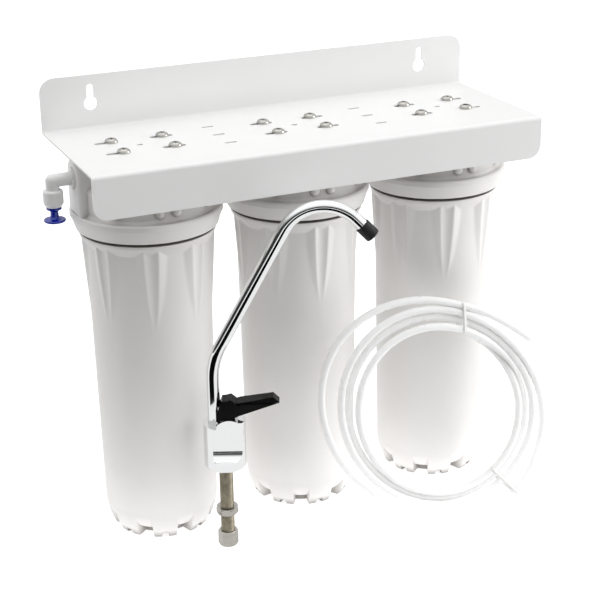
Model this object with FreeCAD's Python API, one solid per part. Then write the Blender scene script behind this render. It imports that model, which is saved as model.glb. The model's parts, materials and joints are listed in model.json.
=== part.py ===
import FreeCAD, Part
import math
import os

# Three-stage drinking-water filter: a folded steel bracket carries three screw-on housings in a
# row, plumbed in series, with the kit's long-reach faucet and its coil of quarter-inch tubing.
# Millimetres.  Origin on the floor below the middle housing's axis, +X along the bracket towards
# the outlet, +Y towards the wall, +Z up.

# ---- bracket ----
BRACKET_WIDTH = 380.0
BRACKET_DEPTH = 138.0
SHEET = 1.5
SHELF_TOP = 326.0
BACK_HEIGHT = 43.0
FRONT_DROP = 34.0
BACK_CORNER_R = 12.0
FRONT_CORNER_R = 11.0
BEND_R = 3.0
KEYHOLE_X = 148.8
KEYHOLE_Z = 19.5
KEYHOLE_R = 5.6
KEYSLOT_R = 2.9
KEYSLOT_RISE = 13.0
SLOT_PITCH = 130.5
SLOT_X = 22.6
SLOT_Y = 16.0
SLOT_LENGTH = 19.0
SLOT_R = 2.4
SPARE_SLOT_Y = 25.8
SPARE_SLOT_LENGTH = 10.4
SPARE_SLOT_R = 1.6
PILOT_LENGTH = 5.2
SCREW_X = 20.8
SCREW_R = 2.2
SCREW_HEAD_R = 5.3
SCREW_HEAD_H = 3.2
SCREW_LENGTH = 14.0

# ---- housings ----
HOUSING_PITCH = 128.0
STAGES = (-1, 0, 1)
SPEAR_PHASE_DEG = {-1: 16.0, 0: 0.0, 1: 15.0}
RIM_TOP = 260.0
RIM_R = 54.0
RIM_LIP = 2.4
RIM_CONE_DROP = 10.0
BODY_R_TOP = 49.6
BODY_R_LOW = 46.8
PART_LINE_Z = 26.0
WALL = 3.3
SUMP_FLOOR_Z = 9.0
SPEAR_COUNT = 8
SPEAR_TIP_Z = 184.0
RIDGE_R = 53.2
RIDGE_HALF = 5.0
RIDGE_HALF_TIP = 2.2
FLANK_HALF = 13.7
FLANK_HALF_TIP = 3.0
GROOVE_DEPTH = 1.9
FOOT_DEG = 10.0
FOOT_GAP_DEG = 7.5
FOOT_R = 40.5
FOOT_INNER_R = 27.0
WEB_TOP = 4.6
SEAT_RING = (17.0, 10.5)
LOCATOR_RING = (10.5, 8.0)
LOCATOR_RISE = 6.0
NECK_TOP = 284.0
NECK_R = 48.0
NECK_BORE_R = 44.3
RUNNING_CLEARANCE = 0.08
ORING_MINOR = 1.4
ORING_Z = 279.5

# ---- caps ----
CAP_BOTTOM = 263.0
RING_R_BOTTOM = 56.4
RING_R_MID = 59.6
RING_MID_Z = 273.3
RING_R_TOP = 60.3
RING_TOP = 278.4
DRUM_R = 54.0
DRUM_SHOULDER_Z = 300.5
DRUM_TOP_R = 30.0
DRUM_TOP_Z = 310.5
CHAMBER_R = 45.5
CHAMBER_TOP = 292.0
PORT_Z = 306.5
PORT_FACE = 58.0
CHANNEL_HALF = 15.5
PORT_BORE_R = 6.4
PORT_BORE_DEPTH = 11.0
PASSAGE_R = 3.4
BOSS_R = 6.0
RIB_DEG = (7.0, 41.0)
RIB_R = 3.8
RIB_BOTTOM = 282.0
POST_R = 12.2
POST_BOTTOM = 268.0
SEAT_R = 17.0
FEED_OFFSET = 34.0

# ---- cartridges ----
CARTRIDGE_BOTTOM = 21.5
CARTRIDGE_TOP = 275.5
GASKET_T = 2.0
END_CAP_T = 6.0
CARTRIDGE_R = 31.0
CORE_OUT_R = 15.0
CORE_IN_R = 12.6
CORE_HOLE_R = 2.5
CORE_HOLE_ROWS = 9
GASKET_R = 20.0

# ---- fittings between and beside the caps, for quarter-inch push-in tube ----
NIPPLE_ACROSS = 16.0
NIPPLE_BORE_R = 3.6
TUBE_R = 3.175
ELBOW_DROP_X = 16.0
ELBOW_ARM_R = 5.2
ELBOW_COLLAR_R = 8.2
ELBOW_COLLAR_T = 1.6
SOCKET_R = 7.8
SOCKET_TOP = 299.3
SOCKET_MOUTH = 286.0
ELBOW_WATERWAY_R = 2.4
ELBOW_ORING_R = 4.55
ELBOW_ORING_MINOR = 1.3
ELBOW_ORING_RISE = 8.8
COLLET_GAP = 0.8
COLLET_SLEEVE_R = 4.85
COLLET_FLANGE_R = 5.9
COLLET_BORE_R = 3.25
PLUG_FLANGE_R = 8.5
PLUG_BOTTOM = 274.0

# ---- faucet (own frame: s along the spout's reach, t away from the viewer, z up) ----
FAUCET_X = -95.0
FAUCET_Y = -69.3
FAUCET_TURN_DEG = -23.5
SHANK_R = 5.55
SHANK_BOTTOM = 5.6
SHANK_TOP = 80.0
SHANK_BORE_R = 2.6
THREAD_GAP = 0.05
FERRULE_R = 5.3
COMP_NUT_H = 13.3
NUT_FLOOR = 2.5
COMP_NUT_ACROSS = 14.2
LOCK_NUT_Z = 28.7
LOCK_NUT_H = 5.4
LOCK_NUT_ACROSS = 15.5
WASHER_T = 0.8
WASHER_R = 8.6
FAUCET_BASE = 72.5
FAUCET_R = 17.0
COLUMN_TOP = 111.0
ARCH_S = 4.1
ARCH_Z = 102.5
ARCH_R = 13.0
RIGHT_TOP = 113.5
FLAT_T = 9.0
COVE_R = 9.0
COVE_Z = 89.5
SPOUT_S = -7.8
SPOUT_R = 5.1
SPOUT_FOOT = 92.0
SPOUT_BORE_R = 3.6
SPOUT_LEAN_DEG = 28.4
SPOUT_LOW_R = 60.0
SPOUT_ARC_R = 34.0
SPOUT_PEAK_Z = 289.4
SPOUT_PEAK_S = 80.5
SPOUT_DIVE_DEG = 46.0
SPOUT_DIVE_LENGTH = 15.0
TIP_R = 6.0
TIP_LENGTH = 12.5
VALVE_R = 4.5
VALVE_FLOOR = 84.0
VALVE_ROOF = 98.0
STEM_R = 2.0
STEM_TOP = 120.5
STEM_FLANGE_R = 3.6
STEM_FLANGE_Z = 86.6
STEM_FLANGE_T = 2.0
PIN_R = 1.4
PIN_Z = 118.6
PIN_HALF = 4.0
SPRING_R = 3.2
SPRING_WIRE_R = 0.4
SPRING_TURNS = 4
SPRING_LOW = 89.2
SPRING_HIGH = 97.0
LEVER_HALF = 6.6
LEVER_WALL = 1.1

# ---- tubing coil: leans on the housings, measured in its own plane (u across, h up) ----
COIL_LEAN_DEG = 12.0
COIL_Y = -97.7
COIL_OUTER_U = 90.0
COIL_OUTER_H = 94.2
COIL_OUTER_RU = 106.4
COIL_OUTER_RH = 94.2
COIL_HOLE_U = 97.0
COIL_HOLE_H = 86.6
COIL_HOLE_R = 70.0
COIL_THICK = 13.0
COIL_EDGE_R = 4.0
TIE_WIDTH = 3.0
TIE_T = 1.0
TIE_DEG = (23.0, 147.0)
COIL_LIFT = 0.7

V = FreeCAD.Vector
UP = V(0, 0, 1)


def housing_x(stage):
    return stage * HOUSING_PITCH


def cyl(radius, z_low, z_high, x=0.0, y=0.0):
    return Part.makeCylinder(radius, z_high - z_low, V(x, y, z_low))


def ring(r_out, r_in, z_low, z_high, x=0.0, y=0.0):
    return cyl(r_out, z_low, z_high, x, y).cut(cyl(r_in, z_low - 1, z_high + 1, x, y))


def rod(radius, start, end):
    return Part.makeCylinder(radius, (end - start).Length, start, end - start)


def box(x_low, x_high, y_low, y_high, z_low, z_high):
    return Part.makeBox(x_high - x_low, y_high - y_low, z_high - z_low, V(x_low, y_low, z_low))


def fuse_all(shapes):
    shapes = list(shapes)
    return shapes[0].multiFuse(shapes[1:]).removeSplitter() if len(shapes) > 1 else shapes[0]


def outline(steps):
    """Closed wire.  A step is a point, or (middle, end) for an arc from the point before."""
    edges = []
    here = steps[0]
    for step in steps[1:] + [steps[0]]:
        if isinstance(step, tuple):
            edges.append(Part.Arc(here, step[0], step[1]).toShape())
            here = step[1]
        elif (step - here).Length > 1e-6:
            edges.append(Part.LineSegment(here, step).toShape())
            here = step
    return Part.Wire(edges)


def lathe(steps, x=0.0, y=0.0):
    """Solid of revolution about the vertical through x, y from (radius, z) steps."""
    def point(p):
        return V(p[0], 0, p[1])
    path = []
    for step in steps:
        path.append((point(step[0]), point(step[1])) if isinstance(step[0], tuple) else point(step))
    solid = Part.Face(outline(path)).revolve(V(0, 0, 0), UP, 360)
    solid.translate(V(x, y, 0))
    return solid


def stadium(length, radius, z_low, z_high, x, y):
    """Upright slot cutter with round ends, long along X."""
    half = length / 2 - radius
    ends = [cyl(radius, z_low, z_high, x + side * half, y) for side in (-1, 1)]
    return fuse_all(ends + [box(x - half, x + half, y - radius, y + radius, z_low, z_high)])


def hexagon(across_flats, z_low, z_high, chamfer=0.8):
    """Upright hexagonal nut blank with its corners turned off at both ends."""
    corner = across_flats / math.sqrt(3)
    points = [V(corner * math.cos(math.radians(60 * k)), corner * math.sin(math.radians(60 * k)), z_low)
              for k in range(7)]
    blank = Part.Face(Part.makePolygon(points)).extrude(V(0, 0, z_high - z_low))
    r_end = across_flats / 2
    turned = lathe([(0, z_low), (r_end, z_low), (corner, z_low + chamfer), (corner, z_high - chamfer),
                    (r_end, z_high), (0, z_high)])
    return blank.common(turned)


# ---- bracket ----

def bracket_plate():
    front = -BRACKET_DEPTH / 2
    back = BRACKET_DEPTH / 2
    under = SHELF_TOP - SHEET
    lip = BEND_R - SHEET
    diagonal = math.sqrt(0.5)
    profile = [
        V(0, front, SHELF_TOP - FRONT_DROP),
        V(0, front, SHELF_TOP - BEND_R),
        (V(0, front + BEND_R * (1 - diagonal), SHELF_TOP - BEND_R * (1 - diagonal)),
         V(0, front + BEND_R, SHELF_TOP)),
        V(0, back - BEND_R, SHELF_TOP),
        (V(0, back - BEND_R + lip * diagonal, SHELF_TOP + lip * (1 - diagonal)),
         V(0, back - SHEET, SHELF_TOP + lip)),
        V(0, back - SHEET, SHELF_TOP + BACK_HEIGHT),
        V(0, back, SHELF_TOP + BACK_HEIGHT),
        V(0, back, SHELF_TOP + lip),
        (V(0, back - BEND_R + BEND_R * diagonal, SHELF_TOP + lip - BEND_R * diagonal),
         V(0, back - BEND_R, under)),
        V(0, front + BEND_R, under),
        (V(0, front + BEND_R - lip * diagonal, under - lip * (1 - diagonal)),
         V(0, front + SHEET, under - lip)),
        V(0, front + SHEET, SHELF_TOP - FRONT_DROP),
    ]
    plate = Part.Face(outline(profile)).extrude(V(BRACKET_WIDTH, 0, 0))
    plate.translate(V(-BRACKET_WIDTH / 2, 0, 0))
    plate = plate.cut(fuse_all(bracket_corner_cutters()))
    return plate.cut(Part.makeCompound(bracket_holes()))


def corner_cutter(side, y_low, y_high, z_edge, radius, upward):
    """What is left of a square corner outside its rounding, run through the sheet."""
    x_edge = side * BRACKET_WIDTH / 2
    x_in = x_edge - side * radius
    z_in = z_edge - upward * radius
    block = box(min(x_edge + side, x_in), max(x_edge + side, x_in), y_low, y_high,
                min(z_edge + upward, z_in), max(z_edge + upward, z_in))
    return block.cut(Part.makeCylinder(radius, y_high - y_low, V(x_in, y_low, z_in), V(0, 1, 0)))


def bracket_corner_cutters():
    back = BRACKET_DEPTH / 2
    cutters = []
    for side in (-1, 1):
        top = SHELF_TOP + BACK_HEIGHT
        bottom = SHELF_TOP - FRONT_DROP
        cutters.append(corner_cutter(side, back - 4, back + 1, top, BACK_CORNER_R, 1))
        cutters.append(corner_cutter(side, -back - 1, -back + 4, bottom, FRONT_CORNER_R, -1))
    return cutters


def keyhole(x):
    z = SHELF_TOP + KEYHOLE_Z
    y = BRACKET_DEPTH / 2 - SHEET - 1
    through = V(0, 1, 0)
    depth = SHEET + 2
    head = Part.makeCylinder(KEYHOLE_R, depth, V(x, y, z), through)
    slot_end = Part.makeCylinder(KEYSLOT_R, depth, V(x, y, z + KEYSLOT_RISE), through)
    slot = box(x - KEYSLOT_R, x + KEYSLOT_R, y, y + depth, z, z + KEYSLOT_RISE)
    return fuse_all([head, slot_end, slot])


def bracket_holes():
    low = SHELF_TOP - SHEET - 1
    high = SHELF_TOP + 1
    holes = [keyhole(side * KEYHOLE_X) for side in (-1, 1)]
    for stage in STAGES:
        centre = stage * SLOT_PITCH
        holes.append(stadium(PILOT_LENGTH, SPARE_SLOT_R, low, high, centre, 0))
        for side in (-1, 1):
            for row in (-1, 1):
                holes.append(stadium(SLOT_LENGTH, SLOT_R, low, high, centre + side * SLOT_X, row * SLOT_Y))
    for between in (-0.5, 0.5):
        for row in (-1, 0, 1):
            holes.append(stadium(SPARE_SLOT_LENGTH, SPARE_SLOT_R, low, high, between * SLOT_PITCH,
                                 row * SPARE_SLOT_Y))
    return holes


def screw_places():
    return [(housing_x(stage) + side * SCREW_X, row * SLOT_Y)
            for stage in STAGES for side in (-1, 1) for row in (-1, 1)]


def pan_head_screw(x, y):
    """Pan-head screw with a cross recess, driven down through the shelf into a cap's boss."""
    z = SHELF_TOP
    crown = z + SCREW_HEAD_H
    screw = lathe([(0, z - SCREW_LENGTH), (SCREW_R, z - SCREW_LENGTH), (SCREW_R, z), (SCREW_HEAD_R, z),
                   (SCREW_HEAD_R, z + 0.9),
                   ((SCREW_HEAD_R * 0.8, crown - 0.6), (SCREW_HEAD_R * 0.42, crown)),
                   (0, crown)], x, y)
    for along, across in ((2.4, 0.45), (0.45, 2.4)):
        screw = screw.cut(box(x - along, x + along, y - across, y + across, crown - 1.6, crown + 1))
    return screw


def bracket_screws():
    return Part.makeCompound([pan_head_screw(x, y) for x, y in screw_places()])


# ---- caps ----

def port_channel(x):
    """Tunnel along X with an arched top that carries both ports, down to the ring."""
    low = RING_TOP - 3
    side = CHANNEL_HALF
    steps = [V(0, -side, low), V(0, -side, PORT_Z), (V(0, 0, PORT_Z + side), V(0, side, PORT_Z)),
             V(0, side, low)]
    tunnel = Part.Face(outline(steps)).extrude(V(2 * PORT_FACE, 0, 0))
    tunnel.translate(V(-PORT_FACE, 0, 0))
    rims = [e for e in tunnel.Edges if abs(abs(e.BoundBox.XMin) - PORT_FACE) < 1e-6
            and abs(e.BoundBox.XMax - e.BoundBox.XMin) < 1e-6 and e.BoundBox.ZMax > low + 1]
    tunnel = tunnel.makeFillet(2.5, rims)
    tunnel.translate(V(x, 0, 0))
    return tunnel


def cap_ribs(x):
    ribs = []
    for half in (0, 180):
        for degrees in RIB_DEG:
            for side in (-1, 1):
                a = math.radians(half + side * degrees)
                px = x + DRUM_R * math.sin(a)
                py = -DRUM_R * math.cos(a)
                ribs.append(cyl(RIB_R, RIB_BOTTOM + RIB_R, DRUM_SHOULDER_Z - 2, px, py))
                ribs.append(Part.makeSphere(RIB_R, V(px, py, RIB_BOTTOM + RIB_R)))
                ribs.append(Part.makeSphere(RIB_R, V(px, py, DRUM_SHOULDER_Z - 2)))
    return ribs


def cap(stage):
    x = housing_x(stage)
    shell = lathe([(0, CAP_BOTTOM), (RING_R_BOTTOM, CAP_BOTTOM), (RING_R_MID, RING_MID_Z),
                   (RING_R_TOP, RING_MID_Z + 0.4), (RING_R_TOP, RING_TOP - 1.2),
                   (RING_R_TOP - 1.2, RING_TOP),
                   (DRUM_R + 2.5, RING_TOP), ((DRUM_R + 0.7, RING_TOP + 0.8), (DRUM_R, RING_TOP + 2.5)),
                   (DRUM_R, DRUM_SHOULDER_Z - 2), (DRUM_R - 2.2, DRUM_SHOULDER_Z),
                   (DRUM_TOP_R, DRUM_TOP_Z), (0, DRUM_TOP_Z)], x)
    bosses = [cyl(BOSS_R, DRUM_SHOULDER_Z - 4, SHELF_TOP - SHEET, x + side * SCREW_X, row * SLOT_Y)
              for side in (-1, 1) for row in (-1, 1)]
    solid = fuse_all([shell, port_channel(x)] + bosses + cap_ribs(x))
    solid = solid.cut(cyl(NECK_R + RUNNING_CLEARANCE, CAP_BOTTOM - 1, NECK_TOP + 1.5, x))
    solid = solid.cut(cyl(CHAMBER_R, NECK_TOP, CHAMBER_TOP, x))
    post = cyl(POST_R, POST_BOTTOM, CHAMBER_TOP + 1, x)
    seat = cyl(SEAT_R, CARTRIDGE_TOP + 0.3, CHAMBER_TOP + 1, x)
    solid = solid.fuse(fuse_all([post, seat]))
    return solid.cut(Part.makeCompound(cap_waterways(x)))


def cap_waterways(x):
    """Port sockets, the feed down to the chamber and the return up through the centre post."""
    cutters = []
    for side in (-1, 1):
        face = V(x + side * (PORT_FACE + 1), 0, PORT_Z)
        cutters.append(rod(PORT_BORE_R, face, V(x + side * (PORT_FACE - PORT_BORE_DEPTH), 0, PORT_Z)))
    feed_x = x - FEED_OFFSET
    socket_floor = PORT_FACE - PORT_BORE_DEPTH - 1
    cutters.append(rod(PASSAGE_R, V(x - socket_floor - 1, 0, PORT_Z), V(feed_x - 1, 0, PORT_Z)))
    cutters.append(cyl(PASSAGE_R, CHAMBER_TOP - 1, PORT_Z, feed_x))
    cutters.append(rod(PASSAGE_R, V(x + socket_floor + 1, 0, PORT_Z), V(x, 0, PORT_Z)))
    cutters.append(cyl(PASSAGE_R, POST_BOTTOM - 1, PORT_Z, x))
    for px, py in screw_places():
        if abs(px - x) < HOUSING_PITCH / 2:
            cutters.append(cyl(SCREW_R, SHELF_TOP - SCREW_LENGTH - 1, SHELF_TOP, px, py))
    return cutters


# ---- sumps ----

def body_radius(z):
    share = (z - PART_LINE_Z) / (RIM_TOP - PART_LINE_Z)
    return BODY_R_LOW + share * (BODY_R_TOP - BODY_R_LOW)


def spear(x, degrees):
    """Tapered grip rib: two ridges with a groove between, sinking into the wall at its tip."""
    def section(z, ridge_r, ridge_half, flank_half, groove):
        root = math.sqrt(body_radius(z) ** 2 - flank_half ** 2) - 1.6
        crest = ridge_r - 0.15
        inside = ridge_half - 0.6
        outside = ridge_half + 0.6
        points = [(-flank_half, root), (-outside, crest), (-inside, crest), (0, ridge_r - groove),
                  (inside, crest), (outside, crest), (flank_half, root)]
        return Part.makePolygon([V(t, -r, z) for t, r in points + [points[0]]])
    top = section(RIM_TOP - 1.2, RIDGE_R, RIDGE_HALF, FLANK_HALF, GROOVE_DEPTH)
    tip_z = SPEAR_TIP_Z - 6
    tip = section(tip_z, body_radius(tip_z) - 0.35, RIDGE_HALF_TIP, FLANK_HALF_TIP, 0.5)
    solid = Part.makeLoft([top, tip], True, True)
    solid.rotate(V(0, 0, 0), UP, -degrees)
    solid.translate(V(x, 0, 0))
    return solid


def foot_profile():
    """Outer profile of a foot, from the parting line round to the floor."""
    r = BODY_R_LOW - 0.15
    return [(FOOT_INNER_R, 0), (FOOT_R - 2, 0), ((FOOT_R - 0.3, 0.8), (FOOT_R + 0.9, 3.2)),
            ((r - 1.2, 14.0), (r, PART_LINE_Z - 1)), (FOOT_INNER_R, PART_LINE_Z - 1)]


def sector(x, start_deg, width_deg, z_low, z_high):
    """Upright wedge from the axis, measured from -Y towards -X."""
    reach = 80.0
    points = [V(x, 0, z_low)]
    for k in range(3):
        a = math.radians(start_deg + width_deg * k / 2)
        points.append(V(x - reach * math.sin(a), -reach * math.cos(a), z_low))
    points.append(points[0])
    return Part.Face(Part.makePolygon(points)).extrude(V(0, 0, z_high - z_low))


def feet(x, phase):
    """Eight pairs of feet, a narrow notch within a pair and a wide one between pairs."""
    whole = lathe(foot_profile(), x)
    wedges = []
    webs = []
    for k in range(SPEAR_COUNT):
        middle = phase + 45.0 * k
        pair = FOOT_GAP_DEG + 2 * FOOT_DEG
        wedges.append(sector(x, middle - pair / 2, pair, -1, PART_LINE_Z + 1))
        webs.append(sector(x, middle - FOOT_GAP_DEG / 2, FOOT_GAP_DEG, -1, WEB_TOP))
    return whole.common(Part.makeCompound(wedges)).cut(Part.makeCompound(webs))


def sump(stage):
    x = housing_x(stage)
    phase = SPEAR_PHASE_DEG[stage]
    r_low = BODY_R_LOW
    cone_r = body_radius(RIM_TOP - RIM_CONE_DROP)
    rim = RIM_TOP - RIM_LIP
    outer = lathe([(0, 5.0), (26, 5.0), ((39.5, 8.8), (r_low - 1.0, PART_LINE_Z - 4)),
                   (r_low - 0.15, PART_LINE_Z), (r_low, PART_LINE_Z + 0.2),
                   (cone_r, RIM_TOP - RIM_CONE_DROP), (RIM_R, rim), (RIM_R, RIM_TOP - 0.5),
                   (RIM_R - 0.5, RIM_TOP), (NECK_R, RIM_TOP), (NECK_R, NECK_TOP - 0.8),
                   (NECK_R - 0.8, NECK_TOP), (0, NECK_TOP)], x)
    spears = [spear(x, phase + 45.0 * k) for k in range(SPEAR_COUNT)]
    solid = outer.multiFuse(spears + [feet(x, phase)])
    r_top = BODY_R_TOP - WALL
    inner = lathe([(0, SUMP_FLOOR_Z), (24, SUMP_FLOOR_Z), ((36, 12.5), (r_low - WALL, PART_LINE_Z + 2)),
                   (r_top - 1.2, RIM_TOP - 14), (NECK_BORE_R, RIM_TOP - 6), (NECK_BORE_R, NECK_TOP + 1),
                   (0, NECK_TOP + 1)], x)
    groove = ring(NECK_R + 1, NECK_R - 2 * ORING_MINOR - 0.03, ORING_Z - ORING_MINOR - 0.1,
                  ORING_Z + ORING_MINOR + 0.1, x)
    seat = ring(*SEAT_RING, SUMP_FLOOR_Z - 1, CARTRIDGE_BOTTOM - GASKET_T, x)
    standing_ring = ring(FOOT_INNER_R + 2.5, FOOT_INNER_R - 0.5, 0, 6.5, x)
    locator = ring(*LOCATOR_RING, SUMP_FLOOR_Z - 1, CARTRIDGE_BOTTOM + LOCATOR_RISE, x)
    return fuse_all([solid.cut(inner).cut(groove), seat, locator, standing_ring])


def sump_oring(stage):
    torus = Part.makeTorus(NECK_R - ORING_MINOR, ORING_MINOR, V(0, 0, 0), UP)
    torus.translate(V(housing_x(stage), 0, ORING_Z))
    return torus


# ---- cartridges ----

def cartridge_media(stage):
    z_low = CARTRIDGE_BOTTOM + END_CAP_T
    z_high = CARTRIDGE_TOP - GASKET_T - END_CAP_T
    return ring(CARTRIDGE_R - 0.5, CORE_OUT_R, z_low, z_high, housing_x(stage))


def cartridge_core(stage):
    """Perforated centre tube."""
    x = housing_x(stage)
    z_low = CARTRIDGE_BOTTOM + END_CAP_T
    z_high = CARTRIDGE_TOP - GASKET_T - END_CAP_T
    tube = ring(CORE_OUT_R, CORE_IN_R, z_low, z_high, x)
    holes = []
    for row in range(CORE_HOLE_ROWS):
        z = z_low + (row + 0.5) * (z_high - z_low) / CORE_HOLE_ROWS
        for k in range(2):
            a = math.radians(90 * k + 45 * (row % 2))
            reach = V(20 * math.cos(a), 20 * math.sin(a), 0)
            holes.append(rod(CORE_HOLE_R, V(x, 0, z) - reach, V(x, 0, z) + reach))
    return tube.cut(Part.makeCompound(holes))


def cartridge_end_caps(stage):
    x = housing_x(stage)
    low = ring(CARTRIDGE_R, CORE_IN_R, CARTRIDGE_BOTTOM, CARTRIDGE_BOTTOM + END_CAP_T, x)
    top = CARTRIDGE_TOP - GASKET_T
    high = ring(CARTRIDGE_R, CORE_IN_R, top - END_CAP_T, top, x)
    return Part.makeCompound([low, high])


def cartridge_gaskets(stage):
    x = housing_x(stage)
    low = ring(GASKET_R, CORE_IN_R, CARTRIDGE_BOTTOM - GASKET_T, CARTRIDGE_BOTTOM, x)
    high = ring(GASKET_R, CORE_IN_R, CARTRIDGE_TOP - GASKET_T, CARTRIDGE_TOP, x)
    return Part.makeCompound([low, high])


# ---- fittings ----

def stage_nipple(between):
    """Double-ended fitting with a hexagon between two caps' ports."""
    middle = between * HOUSING_PITCH
    half_gap = HOUSING_PITCH / 2 - PORT_FACE
    grip = hexagon(NIPPLE_ACROSS, -half_gap, half_gap)
    thread = cyl(PORT_BORE_R, -half_gap - PORT_BORE_DEPTH + 1, half_gap + PORT_BORE_DEPTH - 1)
    nipple = grip.fuse(thread).cut(cyl(NIPPLE_BORE_R, -HOUSING_PITCH, HOUSING_PITCH))
    nipple.rotate(V(0, 0, 0), V(0, 1, 0), 90)
    nipple.translate(V(middle, 0, PORT_Z))
    return nipple


def elbow(side):
    """Push-in elbow: threaded arm into the end port, socket pointing down."""
    face = side * (HOUSING_PITCH + PORT_FACE)
    corner = face + side * ELBOW_DROP_X
    axis = V(side, 0, 0)
    thread_start = V(face - side * (PORT_BORE_DEPTH - 1), 0, PORT_Z)
    thread = rod(PORT_BORE_R, thread_start, V(face, 0, PORT_Z))
    collar = rod(ELBOW_COLLAR_R, V(face, 0, PORT_Z), V(face, 0, PORT_Z) + axis * ELBOW_COLLAR_T)
    arm = rod(ELBOW_ARM_R, V(face, 0, PORT_Z), V(corner, 0, PORT_Z))
    knee = Part.makeSphere(ELBOW_ARM_R, V(corner, 0, PORT_Z))
    drop = cyl(ELBOW_ARM_R, SOCKET_TOP - 1, PORT_Z, corner)
    socket = lathe([(0, SOCKET_MOUTH), (SOCKET_R - 1.9, SOCKET_MOUTH), (SOCKET_R - 1.5, SOCKET_MOUTH + 0.9),
                    ((SOCKET_R - 0.6, SOCKET_MOUTH + 1.8), (SOCKET_R, SOCKET_MOUTH + 3.6)),
                    (SOCKET_R, SOCKET_TOP - 1.6),
                    ((SOCKET_R - 0.5, SOCKET_TOP - 0.5), (SOCKET_R - 1.6, SOCKET_TOP)),
                    (0, SOCKET_TOP)], corner)
    solid = fuse_all([thread, collar, arm, knee, drop, socket])
    waterways = [
        rod(ELBOW_WATERWAY_R, thread_start - axis, V(corner, 0, PORT_Z)),
        Part.makeSphere(ELBOW_WATERWAY_R, V(corner, 0, PORT_Z)),
        cyl(ELBOW_WATERWAY_R, SOCKET_TOP - 3, PORT_Z, corner),
        cyl(3.3, SOCKET_MOUTH + 10.5, SOCKET_TOP - 0.5, corner),
        cyl(5.9, SOCKET_MOUTH + 7.0, SOCKET_MOUTH + 10.6, corner),
        cyl(4.9, SOCKET_MOUTH - 1, SOCKET_MOUTH + 7.1, corner),
    ]
    return solid.cut(Part.makeCompound(waterways))


def elbow_x(side):
    return side * (HOUSING_PITCH + PORT_FACE + ELBOW_DROP_X)


def elbow_oring(side):
    torus = Part.makeTorus(ELBOW_ORING_R, ELBOW_ORING_MINOR, V(0, 0, 0), UP)
    torus.translate(V(elbow_x(side), 0, SOCKET_MOUTH + ELBOW_ORING_RISE))
    return torus


def elbow_collet(side):
    """Release ring that grips the tube: a sleeve in the socket with a flange outside."""
    flange_top = SOCKET_MOUTH - COLLET_GAP
    sleeve = ring(COLLET_SLEEVE_R, COLLET_BORE_R, flange_top - 0.5, SOCKET_MOUTH + 5.6, elbow_x(side))
    flange = ring(COLLET_FLANGE_R, COLLET_BORE_R, flange_top - 1.2, flange_top, elbow_x(side))
    return sleeve.fuse(flange).removeSplitter()


def inlet_plug():
    """Transport plug: stem in the collet, waist below it and a round pull flange."""
    x = elbow_x(-1)
    top = SOCKET_MOUTH - COLLET_GAP - 1.5
    low = PLUG_BOTTOM
    return lathe([(0, low + 0.8), (PLUG_FLANGE_R - 2.0, low), (PLUG_FLANGE_R - 1.0, low),
                  ((PLUG_FLANGE_R - 0.3, low + 0.3), (PLUG_FLANGE_R, low + 1.0)),
                  ((PLUG_FLANGE_R - 0.3, low + 1.8), (PLUG_FLANGE_R - 1.0, low + 2.1)),
                  ((4.2, low + 2.9), (3.2, low + 5.0)), (3.1, top - 2.2), ((3.5, top - 1.0), (5.2, top)),
                  (TUBE_R, top), (TUBE_R, SOCKET_MOUTH + 12.2), (TUBE_R - 0.6, SOCKET_MOUTH + 12.8),
                  (0, SOCKET_MOUTH + 12.8)], x)


# ---- faucet ----

def place_faucet(shape):
    """From the faucet's own s, t, z frame to the row frame."""
    moved = shape.copy()
    moved.rotate(V(0, 0, 0), UP, FAUCET_TURN_DEG)
    moved.translate(V(FAUCET_X, FAUCET_Y, 0))
    return moved


def prism(steps, t_low, t_high):
    """Solid with an s, z outline run along t."""
    def point(p):
        return V(p[0], t_low, p[1])
    path = []
    for step in steps:
        path.append((point(step[0]), point(step[1])) if isinstance(step[0], tuple) else point(step))
    return Part.Face(outline(path)).extrude(V(0, t_high - t_low, 0))


def arch_point(degrees, radius=ARCH_R):
    a = math.radians(degrees)
    return (ARCH_S + radius * math.cos(a), ARCH_Z + radius * math.sin(a))


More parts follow.
